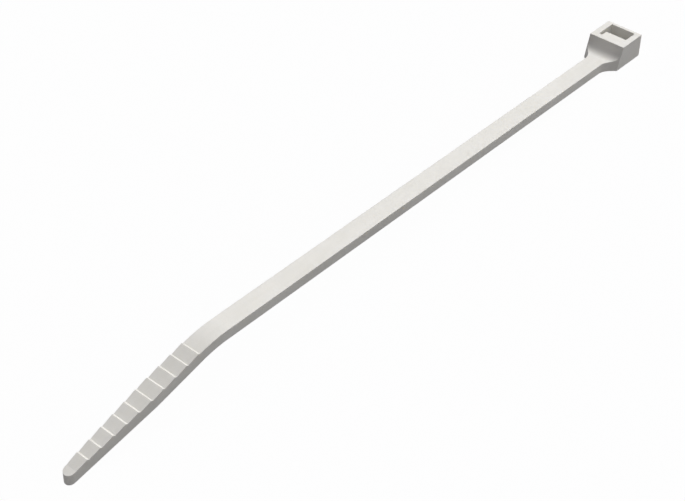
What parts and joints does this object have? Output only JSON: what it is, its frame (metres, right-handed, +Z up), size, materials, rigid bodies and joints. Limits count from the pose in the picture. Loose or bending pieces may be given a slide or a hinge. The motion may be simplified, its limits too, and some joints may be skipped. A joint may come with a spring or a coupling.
{
  "type": "cable tie",
  "caption": "Small one-piece moulded tie: a ratchet head with a slot and a hinged pawl, a narrow strap with a toothed underside, and a bent, tapered tail with stepped grips",
  "frame": {"origin": "Middle of the tie's length and width, on the surface it lies on", "axes": "+X toward the ratchet head, +Y across the strap, +Z up with the smooth face of the strap and the open top of the head upward"},
  "size_m": [0.1024, 0.0054, 0.0056],
  "materials": {
    "nylon": "satin natural nylon"
  },
  "bodies": {
    "root": {"cable_tie": "nylon"}
  },
  "joints": []
}
